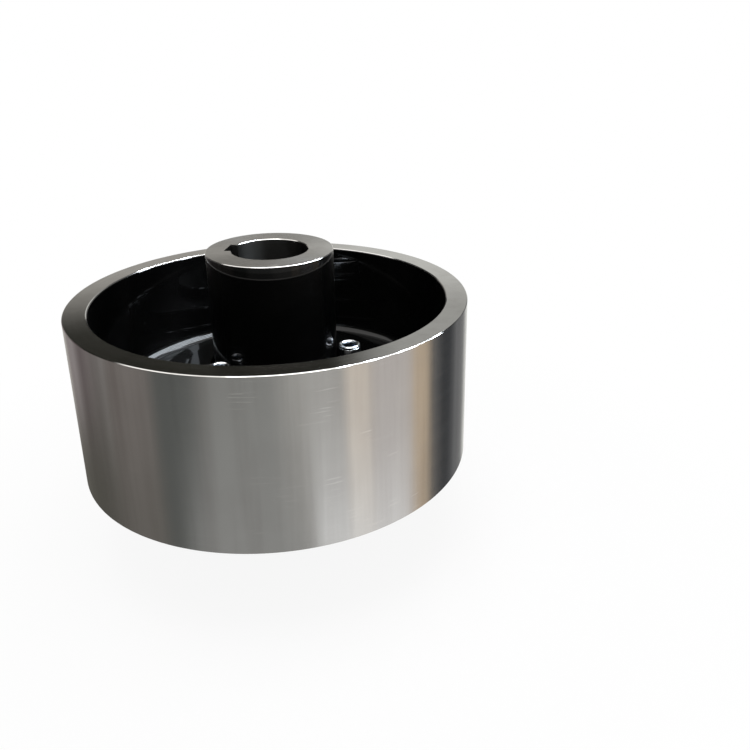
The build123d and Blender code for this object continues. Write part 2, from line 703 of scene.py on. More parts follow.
def grid_faces(rows: int, columns: int, rows_close: bool) -> np.ndarray:
    """The four-sided faces of a grid whose columns close on themselves.

    Args:
        rows: how many rows of points there are.
        columns: how many points a row has.
        rows_close: whether the last row joins the first one.

    Returns:
        One row of four point numbers for each face.
    """
    count = rows if rows_close else rows - 1
    row, column = np.meshgrid(np.arange(count), np.arange(columns), indexing="ij")
    above = (row + 1) % rows
    beside = (column + 1) % columns
    here, there = row * columns, above * columns
    faces = (here + column, here + beside, there + beside, there + column)
    return np.stack(faces, axis=-1).reshape(-1, 4)


def write_mesh(name: str, points: np.ndarray, faces: Sequence[np.ndarray]) -> bpy.types.Object:
    """Puts points and faces into a new object, with its faces outwards and its edges crisp.

    Args:
        name: the piece's name.
        points: the points in millimetres, in the coupling's frame.
        faces: blocks of faces, each with one row of point numbers for a face.

    Returns:
        The new object, at the origin.
    """
    mesh = bpy.data.meshes.new(name)
    rows = sum((block.tolist() for block in faces), [])
    mesh.from_pydata((points * MM).tolist(), [], rows)
    mesh.validate()
    outwards(mesh)
    smooth(mesh)
    piece = bpy.data.objects.new(name, mesh)
    bpy.context.scene.collection.objects.link(piece)
    return piece


def outwards(mesh: bpy.types.Mesh) -> None:
    """Turns a closed mesh's faces outwards, by the sign of the volume that they enclose.

    The volume is a sixth of the sum, over all triangles, of the triple product of their corners.

    Args:
        mesh: the mesh to turn.
    """
    mesh.calc_loop_triangles()
    corners = np.empty(len(mesh.loop_triangles) * 3, dtype=np.int64)
    mesh.loop_triangles.foreach_get("vertices", corners)
    places = np.empty(len(mesh.vertices) * 3)
    mesh.vertices.foreach_get("co", places)
    a, b, c = places.reshape(-1, 3)[corners.reshape(-1, 3)].transpose(1, 0, 2)
    if np.einsum("ij,ij->i", a, np.cross(b, c)).sum() < 0:
        mesh.flip_normals()


def smooth(mesh: bpy.types.Mesh) -> None:
    """Shades a mesh smoothly, apart from the edges sharper than the crease angle."""
    mesh.shade_smooth()
    mesh.set_sharp_from_angle(angle=math.radians(CREASE_ANGLE))


def turned(
    name: str, section: np.ndarray, bearings: np.ndarray, keyway: Union[Keyway, None] = None
) -> bpy.types.Object:
    """A closed half section carried round the axis.

    A point of the grid is (r cos b, r sin b, z) for a bearing b and a point (r, z) of the section.
    In the bore, r is the larger of the section's radius and the keyway's.

    Args:
        name: the piece's name.
        section: the half section, closed, as rows of radius and height.
        bearings: the bearings of the grid's columns in degrees.
        keyway: the keyway in the bore, if there is one.

    Returns:
        The new object.
    """
    radii = np.repeat(section[:, :1], bearings.size, axis=1)
    if keyway:
        in_bore = section[:, 0] < keyway.bore_radius + keyway.mouth_reach
        radii[in_bore] = np.maximum(radii[in_bore], keyway.radii(bearings))
    turn = np.radians(bearings)
    heights = np.repeat(section[:, 1:], bearings.size, axis=1)
    points = np.stack((radii * np.cos(turn), radii * np.sin(turn), heights), axis=-1)
    faces = grid_faces(len(section), bearings.size, rows_close=True)
    return write_mesh(name, points.reshape(-1, 3), [faces])


def stacked(
    radii: np.ndarray, heights: np.ndarray, at: np.ndarray, start: float = 0.0
) -> tuple[np.ndarray, list[np.ndarray]]:
    """A stack of rings about an upright line, closed by a point at both ends.

    Ring i has the points (radii[i] cos b, radii[i] sin b, heights[i]) for evenly spaced bearings b
    from the start on.

    Args:
        radii: one row of radii for each ring.
        heights: one row of heights for each ring.
        at: where the line stands, and the height that the heights count from.
        start: the bearing of each ring's first point in radians.

    Returns:
        The points, and the blocks of faces: the sides, the bottom and the top.
    """
    rows, columns = radii.shape
    bearing = start + np.linspace(0.0, 2 * np.pi, columns, endpoint=False)
    rings = np.stack((radii * np.cos(bearing), radii * np.sin(bearing), heights), axis=-1)
    ends = np.array(((0.0, 0.0, heights[0].mean()), (0.0, 0.0, heights[-1].mean())))
    points = np.concatenate((rings.reshape(-1, 3), ends)) + at
    around = np.arange(columns)
    beside = np.roll(around, -1)
    last = (rows - 1) * columns
    middle = np.full(columns, rows * columns)
    bottom = np.stack((beside, around, middle), axis=-1)
    top = np.stack((last + around, last + beside, middle + 1), axis=-1)
    return points, [grid_faces(rows, columns, rows_close=False), bottom, top]


@dataclass(frozen=True)
class Drill:
    """A round hole along the axis's direction, in millimetres."""

    x: float
    y: float
    radius: float
    bottom: float
    top: float


def drilled(piece: bpy.types.Object, holes: Sequence[Drill]) -> None:
    """Cuts round holes into a piece, and keeps the result as its mesh.

    The drills' points start a little off +X, so that none lies on a line of the piece's grid.

    Args:
        piece: the piece to cut.
        holes: the holes.
    """
    columns = 64
    start = math.radians(0.94)
    points, faces = [], []
    for hole in holes:
        radii = np.full((2, columns), hole.radius)
        heights = np.array((hole.bottom, hole.top))[:, None].repeat(columns, axis=1)
        more, sides = stacked(radii, heights, np.array((hole.x, hole.y, 0.0)), start)
        first = sum(len(p) for p in points)
        points.append(more)
        faces += [side + first for side in sides]
    cutter = write_mesh(f"{piece.name}_drill", np.concatenate(points), faces)
    cut = piece.modifiers.new("holes", "BOOLEAN")
    cut.operation = "DIFFERENCE"
    cut.solver = "EXACT"
    cut.object = cutter
    solid = piece.evaluated_get(bpy.context.evaluated_depsgraph_get())
    mesh = bpy.data.meshes.new_from_object(solid)
    piece.modifiers.clear()
    old = piece.data
    piece.data = mesh
    bpy.data.meshes.remove(old)
    mesh.name = piece.name
    smooth(mesh)
    bpy.data.objects.remove(cutter)


@dataclass(frozen=True)
class Sizes:
    """The coupling's sizes in millimetres, from its end face on the floor upwards."""

    bore_radius: float = 30.0
    bore_chamfer: float = 1.0
    bore_edge: float = 0.6
    keyway_width: float = 18.0
    keyway_depth: float = 4.4
    hub_radius: float = 50.0
    hub_chamfer: float = 1.2
    hub_edge: float = 0.5
    hub_root_radius: float = 2.0
    lower_hub_length: float = 107.0
    upper_hub_length: float = 142.0
    flange_gap: float = 3.0
    flange_radius: float = 97.5
    flange_thickness: float = 38.0
    flange_chamfer: float = 1.5
    drum_radius: float = 157.5
    drum_wall: float = 17.5
    drum_width: float = 134.0
    drum_drop: float = 30.0
    drum_outer_edge: float = 0.5
    drum_inner_edge: float = 1.1
    web_rise: float = 3.5
    web_thickness: float = 16.0
    web_drum_radius: float = 5.0
    web_top_radius: float = 9.0
    web_flange_radius: float = 4.0
    pin_circle_radius: float = 61.5
    pin_radius: float = 10.0
    pin_hole_radius: float = 10.1
    pin_chamfer: float = 1.5
    pins_between_screws: int = 3
    screw_count: int = 3
    plate_inner_radius: float = 52.5
    plate_outer_radius: float = 72.0
    plate_thickness: float = 10.0
    plate_chamfer: float = 1.0
    plate_hole_radius: float = 6.75
    tapped_radius: float = 6.05
    tapped_depth: float = 24.0
    drill_run_out: float = 1.0
    faced_depth: float = 0.2
    faced_margin: float = 1.0
    # How far out past the keyway the bore's painted shade reaches.
    bore_shade_margin: float = 1.3

    @property
    def lower_face(self) -> float:
        """The lower half's coupling face."""
        return self.lower_hub_length

    @property
    def lower_back(self) -> float:
        """The back of the lower flange."""
        return self.lower_face - self.flange_thickness

    @property
    def upper_face(self) -> float:
        """The upper half's coupling face."""
        return self.lower_face + self.flange_gap

    @property
    def upper_back(self) -> float:
        """The back of the upper flange."""
        return self.upper_face + self.flange_thickness

    @property
    def upper_end(self) -> float:
        """The end face of the upper hub."""
        return self.upper_face + self.upper_hub_length

    @property
    def drum_inner_radius(self) -> float:
        """The drum's inside."""
        return self.drum_radius - self.drum_wall

    @property
    def drum_bottom(self) -> float:
        """The drum's lower edge."""
        return self.upper_face - self.drum_drop

    @property
    def drum_top(self) -> float:
        """The drum's upper edge."""
        return self.drum_bottom + self.drum_width

    @property
    def web_bottom(self) -> float:
        """The web's lower face."""
        return self.upper_face + self.web_rise

    @property
    def web_top(self) -> float:
        """The web's upper face."""
        return self.web_bottom + self.web_thickness

    @property
    def bore_shade_radius(self) -> float:
        """The radius that the bore's painted shade and its keyway stay within."""
        return self.bore_radius + self.keyway_depth + self.bore_shade_margin

    @property
    def keyway(self) -> Keyway:
        """The keyway of both bores."""
        return Keyway(self.bore_radius, self.keyway_width, self.keyway_depth)

    def screw_bearings(self) -> np.ndarray:
        """The bearings of the retaining screws."""
        return np.arange(self.screw_count) * 360.0 / self.screw_count

    def pin_bearings(self) -> np.ndarray:
        """The bearings of the nylon pins, in the order of their nodes."""
        step = 360.0 / (self.screw_count * (self.pins_between_screws + 1))
        between = (np.arange(self.pins_between_screws) + 1) * step
        return (self.screw_bearings()[:, None] + between).ravel()

    def on_circle(self, bearing: float) -> np.ndarray:
        """The place on the pins' circle at a bearing."""
        turn = math.radians(bearing)
        return self.pin_circle_radius * np.array((math.cos(turn), math.sin(turn)))


def round_bearings(columns: int, extra: Sequence[float] = ()) -> np.ndarray:
    """Evenly spaced bearings, with a few more where an edge needs them.

    Args:
        columns: how many even bearings there are.
        extra: the further bearings in degrees. An even one that all but meets one of them
            is left out.

    Returns:
        The bearings in order.
    """
    closest = 0.2
    even = np.arange(columns) * 360.0 / columns
    apart = np.abs(even[:, None] - np.asarray(extra)[None]).min(axis=1, initial=360.0)
    return np.sort(np.concatenate((even[apart > closest], np.asarray(extra))))


def hand_over(
    piece: bpy.types.Object,
    nodes: Sequence[str],
    half: Half,
    material: bpy.types.Material,
) -> None:
    """Gives a piece its material and its body, and hides the CAD nodes that it stands for.

    Args:
        piece: the finished piece.
        nodes: the CAD nodes.
        half: the half that it moves with.
        material: the finish.
    """
    piece.data.materials.clear()
    piece.data.materials.append(material)
    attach(piece, half.body)
    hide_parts(*nodes)
    boxes = np.array([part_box(node) for node in nodes])
    low, high = boxes[:, 0].min(axis=0), boxes[:, 1].max(axis=0)
    corners = np.empty(len(piece.data.vertices) * 3)
    piece.data.vertices.foreach_get("co", corners)
    corners = corners.reshape(-1, 3)
    miss = np.abs((corners.min(axis=0) - low, corners.max(axis=0) - high)).max() / MM
    count = len(piece.data.polygons)
    LOG.info("%s: %d faces, within %.2f mm of its CAD box", piece.name, count, miss)


@dataclass(frozen=True)
class Castings:
    """The brake wheel and the plain half coupling."""

    sizes: Sizes
    columns: int = 360

    def build(self) -> None:
        """Builds and dresses both castings."""
        self.brake_wheel()
        self.half_coupling()

    def brake_wheel(self) -> None:
        """The drum, web, flange and hub in one casting, painted and then turned."""
        s = self.sizes
        flange_cut = (Bend.CHAMFER, s.flange_chamfer)
        bore_cut = (Bend.CHAMFER, s.bore_chamfer)
        drum_cut = (Bend.CHAMFER, s.drum_outer_edge)
        inner_cut = (Bend.CHAMFER, s.drum_inner_edge)
        corners = (
            Corner(s.bore_radius, s.upper_face, *bore_cut),
            Corner(s.flange_radius, s.upper_face, *flange_cut),
            Corner(s.flange_radius, s.web_bottom),
            Corner(s.drum_inner_radius, s.web_bottom, Bend.ROUND, s.web_drum_radius),
            Corner(s.drum_inner_radius, s.drum_bottom, *inner_cut),
            Corner(s.drum_radius, s.drum_bottom, *drum_cut),
            Corner(s.drum_radius, s.drum_top, *drum_cut),
            Corner(s.drum_inner_radius, s.drum_top, *inner_cut),
            Corner(s.drum_inner_radius, s.web_top, Bend.ROUND, s.web_top_radius),
            Corner(s.flange_radius, s.web_top, Bend.ROUND, s.web_flange_radius),
            Corner(s.flange_radius, s.upper_back, *flange_cut),
            Corner(s.hub_radius, s.upper_back, Bend.ROUND, s.hub_root_radius),
            Corner(s.hub_radius, s.upper_end, Bend.CHAMFER, s.hub_edge),
            Corner(s.bore_radius, s.upper_end, Bend.CHAMFER, s.bore_edge),
        )
        wheel = self.casting("brake_wheel_casting", corners)
        pins = self.pin_holes(s.upper_face, s.upper_back)
        drilled(wheel, pins + self.tapped_holes(s.upper_back, -1.0))
        zones = (
            BareZone(Side.OUTSIDE, s.drum_inner_radius + s.drum_inner_edge / 2),
            BareZone(Side.ABOVE, s.upper_end - s.hub_edge),
            BareZone(Side.BELOW, s.upper_face + s.faced_depth, s.flange_radius + s.faced_margin),
        )
        nodes = ("brake_wheel", "brake_wheel_hub")
        rim = Corner(s.drum_radius, s.drum_top - s.drum_outer_edge, size=s.drum_wall)
        finish = painted_casting("wheel_finish", zones, s.bore_shade_radius, rim)
        hand_over(wheel, nodes, Half.UPPER, finish)

    def half_coupling(self) -> None:
        """The flange and hub in one casting, painted and then turned."""
        s = self.sizes
        bore_cut = (Bend.CHAMFER, s.bore_chamfer)
        flange_cut = (Bend.CHAMFER, s.flange_chamfer)
        corners = (
            Corner(s.bore_radius, 0.0, *bore_cut),
            Corner(s.hub_radius, 0.0, Bend.CHAMFER, s.hub_chamfer),
            Corner(s.hub_radius, s.lower_back, Bend.ROUND, s.hub_root_radius),
            Corner(s.flange_radius, s.lower_back, *flange_cut),
            Corner(s.flange_radius, s.lower_face, *flange_cut),
            Corner(s.bore_radius, s.lower_face, *bore_cut),
        )
        half = self.casting("half_coupling_casting", corners)
        pins = self.pin_holes(s.lower_back, s.lower_face)
        drilled(half, pins + self.tapped_holes(s.lower_back, 1.0))
        faced = s.lower_face - s.faced_depth
        zones = (BareZone(Side.BELOW, s.hub_chamfer), BareZone(Side.ABOVE, faced))
        rim = Corner(s.flange_radius, faced, size=s.flange_radius - s.hub_radius)
        finish = painted_casting("half_finish", zones, s.bore_shade_radius, rim)
        hand_over(half, ["half_coupling"], Half.LOWER, finish)

    def casting(self, name: str, corners: Sequence[Corner]) -> bpy.types.Object:
        """Carries a casting's half section round, with the keyway in its bore.

        Args:
            name: the casting's name.
            corners: the corners of its half section in order.

        Returns:
            The casting, without its drilled holes.
        """
        keyway = self.sizes.keyway
        bearings = round_bearings(self.columns, keyway.corner_bearings)
        return turned(name, outline(corners), bearings, keyway)

    def pin_holes(self, bottom: float, top: float) -> tuple[Drill, ...]:
        """The holes for the nylon pins, through a flange and a little past both its faces.

        Args:
            bottom: the flange's lower face.
            top: its upper face.

        Returns:
            One hole for each pin.
        """
        s = self.sizes
        places = [s.on_circle(bearing) for bearing in s.pin_bearings()]
        ends = (bottom - s.drill_run_out, top + s.drill_run_out)
        return tuple(Drill(x, y, s.pin_hole_radius, *ends) for x, y in places)

    def tapped_holes(self, back: float, way: float) -> tuple[Drill, ...]:
        """The screws' holes, from a little outside the back of a flange into it.

        Args:
            back: the flange's back.
            way: -1 for holes that go down from it, 1 for holes that go up.

        Returns:
            One hole for each screw.
        """
        s = self.sizes
        ends = sorted((back - way * s.drill_run_out, back + way * s.tapped_depth))
        places = [s.on_circle(bearing) for bearing in s.screw_bearings()]
        return tuple(Drill(x, y, s.tapped_radius, *ends) for x, y in places)


@dataclass(frozen=True)
class NylonPins:
    """The pins that turn one half with the other."""

    sizes: Sizes
    end_clearance: float = 0.3
    columns: int = 72

    def build(self) -> None:
        """Builds and dresses every pin.

        A pin is a stack of rings: its two end faces, its chamfers and its side.
        """
        s = self.sizes
        length = s.upper_back - s.lower_back - self.end_clearance
        face = s.pin_radius - s.pin_chamfer
        side = ((s.pin_radius, s.pin_chamfer), (s.pin_radius, length - s.pin_chamfer))
        profile = np.array(((face, 0.0), *side, (face, length)))
        radii, heights = (profile[:, i : i + 1].repeat(self.columns, axis=1) for i in (0, 1))
        material = plain_finish("nylon_finish", NaturalNylon(), Gloss(subsurface=0.2))
        for number, bearing in enumerate(s.pin_bearings(), start=1):
            at = np.array((*s.on_circle(bearing), s.lower_back))
            pin = write_mesh(f"nylon_pin_{number}_turned", *stacked(radii, heights, at))
            hand_over(pin, [f"nylon_pin_{number}"], Half.LOWER, material)


@dataclass(frozen=True)
class CapScrew:
    """A socket head cap screw with a rolled thread and a knurled head, in millimetres."""

    thread_radius: float = 6.0
    thread_depth: float = 0.95
    pitch: float = 1.75
    rings_to_a_pitch: int = 6
    length: float = 30.0
    tip_chamfer: float = 1.2
    head_radius: float = 9.0
    head_height: float = 12.0
    crest_radius: float = 7.7
    crest_width: float = 1.3
    crest_height: float = 1.6
    knurls: int = 40
    knurl_depth: float = 0.18
    socket_radius: float = 5.0
    socket_depth: float = 6.0
    socket_chamfer: float = 0.6
    socket_margin: float = 0.3
    socket_sink: float = 0.1
    socket_floor_share: float = 0.55
    socket_floor_drop: float = 0.8
    columns: int = 120

    def rings(self) -> tuple[np.ndarray, np.ndarray]:
        """The screw as a stack of rings, from its tip up and down again into its socket.

        The thread's radius falls from its crest by the depth times a triangle wave of
        (bearing over a full turn, less height over pitch). The head's radius falls by the
        knurl's depth times the absolute sine of half the knurls' number times the bearing. The
        socket's radius is half its width across the flats over the cosine of the bearing,
        counted from the middle of the nearest flat.

        Returns:
            The radii and the heights, one row for each ring.
        """
        bearing = np.linspace(0.0, 2 * np.pi, self.columns, endpoint=False)
        parts = (self.thread(bearing), self.head(bearing), self.socket(bearing))
        return tuple(np.concatenate(rows) for rows in zip(*parts))

    def thread(self, bearing: np.ndarray) -> tuple[np.ndarray, np.ndarray]:
        """The shank's rings, with a chamfered tip and the thread fading out under the head.

        Args:
            bearing: the bearings of a ring's points in radians.

        Returns:
            The radii and the heights, one row for each ring.
        """
        rows = int(self.rings_to_a_pitch * self.length / self.pitch)
        height = np.linspace(-self.length, 0.0, rows)[:, None]
        wave = 2 * np.abs((bearing / (2 * np.pi) - height / self.pitch) % 1.0 - 0.5)
        fade = np.clip(-height / self.pitch, 0.0, 1.0)
        tip = np.clip(self.tip_chamfer - (height + self.length), 0.0, None)
        radii = self.thread_radius - self.thread_depth * wave * fade - tip
        return radii, np.broadcast_to(height, radii.shape)

    def head(self, bearing: np.ndarray) -> tuple[np.ndarray, np.ndarray]:
        """The head's rings, from under it over its knurled side to its rounded top.

        The crest is part of an ellipse: for an angle a from 0 to 150 degrees, its radius is
        the crest's radius plus its width times cos a, and it rises by its height times sin a.
        A row is a ring's radius, its height and how much of the knurl it has.

        Args:
            bearing: the bearings of a ring's points in radians.

        Returns:
            The radii and the heights, one row for each ring.
        """
        full, shoulder = self.head_radius, self.head_height - self.crest_height
        knurl = self.knurl_depth * np.abs(np.sin(self.knurls * bearing / 2))
        rows = (
            (full - 0.4, 0.0, 0.0),
            (full, 0.4, 0.0),
            (full, 1.0, 1.0),
            (full, shoulder - 1.5, 1.0),
            (full, shoulder - 1.2, 0.0),
            (full - 0.12, shoulder - 0.9, 0.0),
            (full - 0.5, shoulder - 0.6, 0.0),
            (full - 0.55, shoulder - 0.3, 0.0),
            *self.crest(),
        )
        radii = np.stack([r - share * knurl for r, _, share in rows])
        heights = np.array([z for _, z, _ in rows])[:, None].repeat(self.columns, axis=1)
        return radii, heights

    def crest(self) -> np.ndarray:
        """The rounded edge of the head's top, as rows of radius, height and no knurl."""
        angle = np.linspace(0.0, np.radians(150.0), 11)
        radius = self.crest_radius + self.crest_width * np.cos(angle)
        height = self.head_height - self.crest_height * (1 - np.sin(angle))
        return np.stack((radius, height, np.zeros_like(angle)), axis=-1)

    def socket(self, bearing: np.ndarray) -> tuple[np.ndarray, np.ndarray]:
        """The rings of the hexagon socket, from its round mouth to its floor.

        Args:
            bearing: the bearings of a ring's points in radians.

        Returns:
            The radii and the heights, one row for each ring.
        """
        sixth = np.pi / 3
        hexagon = self.socket_radius / np.cos((bearing + sixth / 2) % sixth - sixth / 2)
        mouth = np.full_like(bearing, self.socket_radius / np.cos(sixth / 2) + self.socket_margin)
        top = self.head_height - self.crest_height / 2 - self.socket_sink
        middle = hexagon * self.socket_floor_share
        radii = np.stack((mouth, np.minimum(hexagon, mouth), hexagon, middle))
        floor = self.head_height - self.socket_depth
        rings = (top, top - self.socket_chamfer, floor, floor - self.socket_floor_drop)
        heights = np.array(rings)[:, None]
        return radii, heights.repeat(self.columns, axis=1)


@dataclass(frozen=True)
class SpringWasher:
    """A split spring washer, drawn flat, in millimetres."""

    inner_radius: float = 6.1
    outer_radius: float = 9.2
    thickness: float = 3.1
    split: float = 1.2
    lean: float = 25.0
    edge: float = 0.25
    columns: int = 96

    def grid(self) -> tuple[np.ndarray, list[np.ndarray]]:
        """The washer as a bar bent round, with its two ends closed.

        A point of the bar's section at (r, z) goes round from one side of the split to the
        other. Both sides lean: each bearing is moved on by z, counted from the washer's middle,
        times the lean's tangent over r.

        Returns:
            The points, and the blocks of faces: the sides and the two ends.
        """
        corners = (
            Corner(self.inner_radius, 0.0, Bend.ROUND, self.edge),
            Corner(self.outer_radius, 0.0, Bend.ROUND, self.edge),
            Corner(self.outer_radius, self.thickness, Bend.ROUND, self.edge),
            Corner(self.inner_radius, self.thickness, Bend.ROUND, self.edge),
        )
        section = outline(corners, steps=3)
        radius, height = section[:, 0], section[:, 1]
        gap = self.split / 2 / radius
        shift = (height - self.thickness / 2) * math.tan(math.radians(self.lean)) / radius
        share = np.linspace(0.0, 1.0, self.columns)[:, None]
        turn = gap + shift + share * (2 * np.pi - 2 * gap)
        heights = np.broadcast_to(height, turn.shape)
        points = np.stack((radius * np.cos(turn), radius * np.sin(turn), heights), axis=-1)
        count = len(section)
        first = np.arange(count)[None]
        last = first + (self.columns - 1) * count
        sides = grid_faces(self.columns, count, rows_close=False)
        return points.reshape(-1, 3), [sides, first[:, ::-1], last]


@dataclass(frozen=True)
class Retainers:
    """The plate, screws and washers that keep the pins in one half."""

    sizes: Sizes
    half: Half
    zinc: bpy.types.Material
    paint: bpy.types.Material

    @property
    def back(self) -> float:
        """The back of this half's flange."""
        return self.sizes.upper_back if self.half is Half.UPPER else self.sizes.lower_back

    @property
    def turn(self) -> float:
        """1 where the stack goes up from the flange, -1 where it hangs below it."""
        return 1.0 if self.half is Half.UPPER else -1.0

    def build(self) -> None:
        """Builds and dresses the plate, the washers and the screws."""
        self.plate()
        for number, bearing in enumerate(self.sizes.screw_bearings(), start=1):
            self.washer(number, bearing)
            self.screw(number, bearing)

    def plate(self) -> None:
        """The ring plate, with a hole for each screw."""
        s = self.sizes
        far = self.back + self.turn * s.plate_thickness
        cut = (Bend.CHAMFER, s.plate_chamfer)
        corners = (
            Corner(s.plate_inner_radius, self.back),
            Corner(s.plate_outer_radius, self.back),
            Corner(s.plate_outer_radius, far, *cut),
            Corner(s.plate_inner_radius, far, *cut),
        )
        name = f"{self.half.value}_retaining_plate"
        plate = turned(f"{name}_turned", outline(corners), round_bearings(288))
        low, high = sorted((self.back, far))
        places = [s.on_circle(bearing) for bearing in s.screw_bearings()]
        ends = (low - s.drill_run_out, high + s.drill_run_out)
        drilled(plate, [Drill(x, y, s.plate_hole_radius, *ends) for x, y in places])
        hand_over(plate, [name], self.half, self.paint)

    def washer(self, number: int, bearing: float) -> None:
        """One spring washer on the plate.

        Args:
            number: its number in the nodes' names.
            bearing: its bearing in degrees.
        """
        points, faces = SpringWasher().grid()
        height = self.back + self.turn * self.sizes.plate_thickness
        name = f"{self.half.value}_spring_washer_{number}"
        points = self.turned_over(points, bearing) + (0.0, 0.0, height)
        washer = write_mesh(f"{name}_split", points, faces)
        hand_over(washer, [name], self.half, self.zinc)

    def screw(self, number: int, bearing: float) -> None:
        """One cap screw on its washer, with its socket's rings and floor marked for painted shade.

        Args:
            number: its number in the nodes' names.
            bearing: its bearing in degrees.
        """
        socket_rings = 4
        radii, heights = CapScrew().rings()
        points, faces = stacked(radii, heights, np.zeros(3))
        height = self.back + self.turn * (self.sizes.plate_thickness + SpringWasher().thickness)
        name = f"{self.half.value}_cap_screw_{number}"
        points = self.turned_over(points, bearing) + (0.0, 0.0, height)
        screw = write_mesh(f"{name}_threaded", points, faces)
        # Marks the socket's rings and floor for painted shade, a dark colour for the recess.
        deep = np.zeros(len(points), dtype=np.float32)
        deep[radii.size - socket_rings * radii.shape[1] : radii.size] = 1.0
        deep[-1] = 1.0
        screw.data.attributes.new("deep", "FLOAT", "POINT").data.foreach_set("value", deep)
        hand_over(screw, [name], self.half, self.zinc)

    def turned_over(self, points: np.ndarray, bearing: float) -> np.ndarray:
        """Moves points out to the pins' circle and round to a bearing, turned over below.

        Args:
            points: points about the fastening's own axis, upwards.
            bearing: the fastening's bearing in degrees.

        Returns:
            The points about the coupling's axis, from height 0.
        """
        flipped = points * (1.0, self.turn, self.turn) + (self.sizes.pin_circle_radius, 0.0, 0.0)
        cos, sin = math.cos(math.radians(bearing)), math.sin(math.radians(bearing))
        return flipped @ np.array(((cos, sin, 0.0), (-sin, cos, 0.0), (0.0, 0.0, 1.0)))


@dataclass(frozen=True)
class Card:
    """A card of the studio, seen only in reflections: its bearing from the camera and its tone.

    The bearing counts in degrees to the camera's right. The card is full within its core, and
    fades out towards its reach, both half angles in degrees. A card may be full only below one
    slope, the height over the distance, and end at another.
    """

    bearing: float
    core: float
    reach: float
    colour: Colour
    full_below: float = 0.0
    ends_above: float = 0.0


